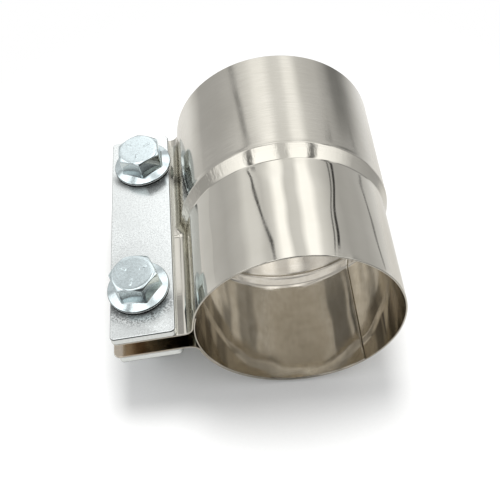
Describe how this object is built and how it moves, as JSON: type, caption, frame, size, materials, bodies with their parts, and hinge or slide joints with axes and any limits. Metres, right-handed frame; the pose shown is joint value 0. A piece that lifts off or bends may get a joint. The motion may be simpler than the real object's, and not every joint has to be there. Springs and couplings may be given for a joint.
{
  "type": "pipe repair clamp",
  "caption": "Stepped lap-joint band clamp: a split stainless sleeve with a rolled step, out-turned ears, clamp bars and hex flange bolts, for joining or repairing a pipe.",
  "frame": {"origin": "centre of the small mouth, on the bore axis", "axes": "+Y along the bore from the small half to the large half; -X towards the ears; +Z along the bolts towards their heads"},
  "size_m": [0.0951, 0.0865, 0.0702],
  "materials": {
    "band_steel": "mirror-polished stainless steel sheet",
    "liner_steel": "bright-rolled stainless steel sheet",
    "bar_zinc": "bright zinc-plated steel bar",
    "bolt_zinc": "bright zinc-plated steel",
    "nut_zinc": "bright zinc-plated steel"
  },
  "bodies": {
    "lower_jaw": {"band": "band_steel", "seal_liner": "liner_steel", "lower_bar": "bar_zinc", "nut_near": "nut_zinc", "nut_far": "nut_zinc"},
    "upper_jaw": {"upper_bar": "bar_zinc"},
    "near_bolt": {"bolt_near": "bolt_zinc"},
    "far_bolt": {"bolt_far": "bolt_zinc"}
  },
  "joints": [
    {"name": "jaw_close", "type": "slide", "parent": "lower_jaw", "child": "upper_jaw", "axis": [0, 0, -1], "range_m": [-0.006, 0.0045], "deforming": ["band"]},
    {"name": "bolt_near_turn", "type": "hinge", "parent": "upper_jaw", "child": "near_bolt", "pos_m": [-0.0493, 0.0184, 0.0067], "axis": [0, 0, -1], "range_deg": [-1441, 1081]},
    {"name": "bolt_far_turn", "type": "hinge", "parent": "upper_jaw", "child": "far_bolt", "pos_m": [-0.0472, 0.073, 0.0067], "axis": [0, 0, -1], "range_deg": [-1441, 1081]}
  ],
  "couplings": [
    {"joint": "bolt_near_turn", "follows": "jaw_close", "rad_per_m": 4188.8},
    {"joint": "bolt_far_turn", "follows": "jaw_close", "rad_per_m": 4188.8}
  ]
}
